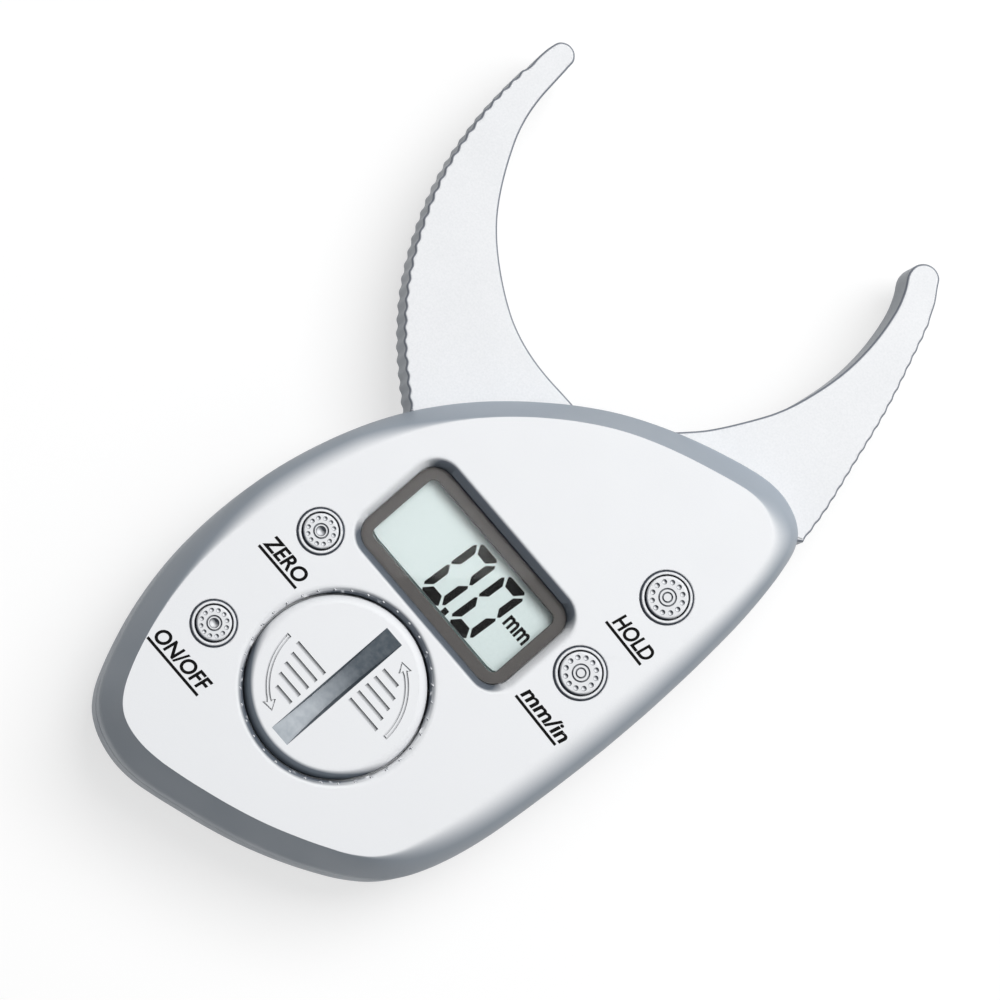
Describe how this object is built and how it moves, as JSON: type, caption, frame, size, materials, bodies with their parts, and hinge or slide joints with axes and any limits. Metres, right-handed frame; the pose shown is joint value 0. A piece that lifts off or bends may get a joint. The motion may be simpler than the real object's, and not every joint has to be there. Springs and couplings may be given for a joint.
{
  "type": "skinfold caliper",
  "caption": "Flat hand-held caliper with a readout and keys, one fixed jaw and one sprung jaw that swings shut to measure a pinched fold.",
  "frame": {"origin": "on the moving jaw's pivot axis, in the plane of the flat back face", "axes": "+X along the printed words, +Y from the battery bay to the jaws, +Z out of the front face"},
  "size_m": [0.0774, 0.1295, 0.0204],
  "materials": {
    "silver_paint": "satin silver-white paint on moulded plastic",
    "jaw_plastic": "matt pale grey moulded plastic",
    "button_plastic": "satin silver paint on moulded plastic",
    "display_border": "dark warm grey border",
    "display_window": "clear polished plastic",
    "display_cell": "pale blue-green liquid crystal cell with a matt reflector",
    "rubber": "matt black",
    "board": "green solder mask on glass fibre laminate",
    "chip": "matt black moulding",
    "steel": "bright plated",
    "contact_metal": "rolled spring bronze and sintered bronze",
    "plunger_plastic": "natural"
  },
  "bodies": {
    "housing": {"front_cover": "silver_paint", "back_cover": "silver_paint", "fixed_jaw": "jaw_plastic", "pivot_pin": "steel", "pivot_washer": "steel", "return_spring": "steel", "circuit_board": "board", "controller_chip": "chip", "display_glass": "display_cell", "display_connector": "rubber", "display_bezel": "display_border", "display_window": "display_window", "battery_cell": "steel", "negative_contact": "contact_metal", "positive_contact": "contact_metal", "housing_screw_1": "steel", "housing_screw_2": "steel", "housing_screw_3": "steel", "housing_screw_4": "steel", "board_screw_1": "steel", "board_screw_2": "steel", "board_screw_3": "steel", "fixed_jaw_screw_1": "steel", "fixed_jaw_screw_2": "steel", "zero_switch_body": "steel", "power_switch_body": "steel", "hold_switch_body": "steel", "unit_switch_body": "steel"},
    "swinging_jaw": {"moving_jaw": "jaw_plastic", "pivot_bush": "contact_metal", "encoder_rotor": "board"},
    "zero_key": {"zero_button": "button_plastic", "zero_switch_plunger": "plunger_plastic"},
    "power_key": {"power_button": "button_plastic", "power_switch_plunger": "plunger_plastic"},
    "hold_key": {"hold_button": "button_plastic", "hold_switch_plunger": "plunger_plastic"},
    "unit_key": {"unit_button": "button_plastic", "unit_switch_plunger": "plunger_plastic"},
    "cap_seal": {"battery_cap_seal": "rubber"},
    "cap": {"battery_cap": "silver_paint"}
  },
  "joints": [
    {"name": "jaw_swing", "type": "hinge", "parent": "housing", "child": "swinging_jaw", "pos_m": [0, 0, 0.0065], "axis": [0, 0, -1], "range_deg": [0, 51.6], "stiffness_Nm_per_rad": 0.03, "springref_deg": -28.65, "deforming": ["return_spring"]},
    {"name": "zero_press", "type": "slide", "parent": "housing", "child": "zero_key", "axis": [0, 0, -1], "range_m": [0, 0.0006], "stiffness_N_per_m": 800, "springref_m": -0.0005},
    {"name": "power_press", "type": "slide", "parent": "housing", "child": "power_key", "axis": [0, 0, -1], "range_m": [0, 0.0006], "stiffness_N_per_m": 800, "springref_m": -0.0005},
    {"name": "hold_press", "type": "slide", "parent": "housing", "child": "hold_key", "axis": [0, 0, -1], "range_m": [0, 0.0006], "stiffness_N_per_m": 800, "springref_m": -0.0005},
    {"name": "unit_press", "type": "slide", "parent": "housing", "child": "unit_key", "axis": [0, 0, -1], "range_m": [0, 0.0006], "stiffness_N_per_m": 800, "springref_m": -0.0005},
    {"name": "cap_lift", "type": "slide", "parent": "housing", "child": "cap_seal", "axis": [0, 0, 1], "range_m": [0, 0.02]},
    {"name": "cap_turn", "type": "hinge", "parent": "cap_seal", "child": "cap", "pos_m": [0.0011, -0.03695, 0.018], "axis": [0, 0, 1], "range_deg": [0, 45]}
  ]
}
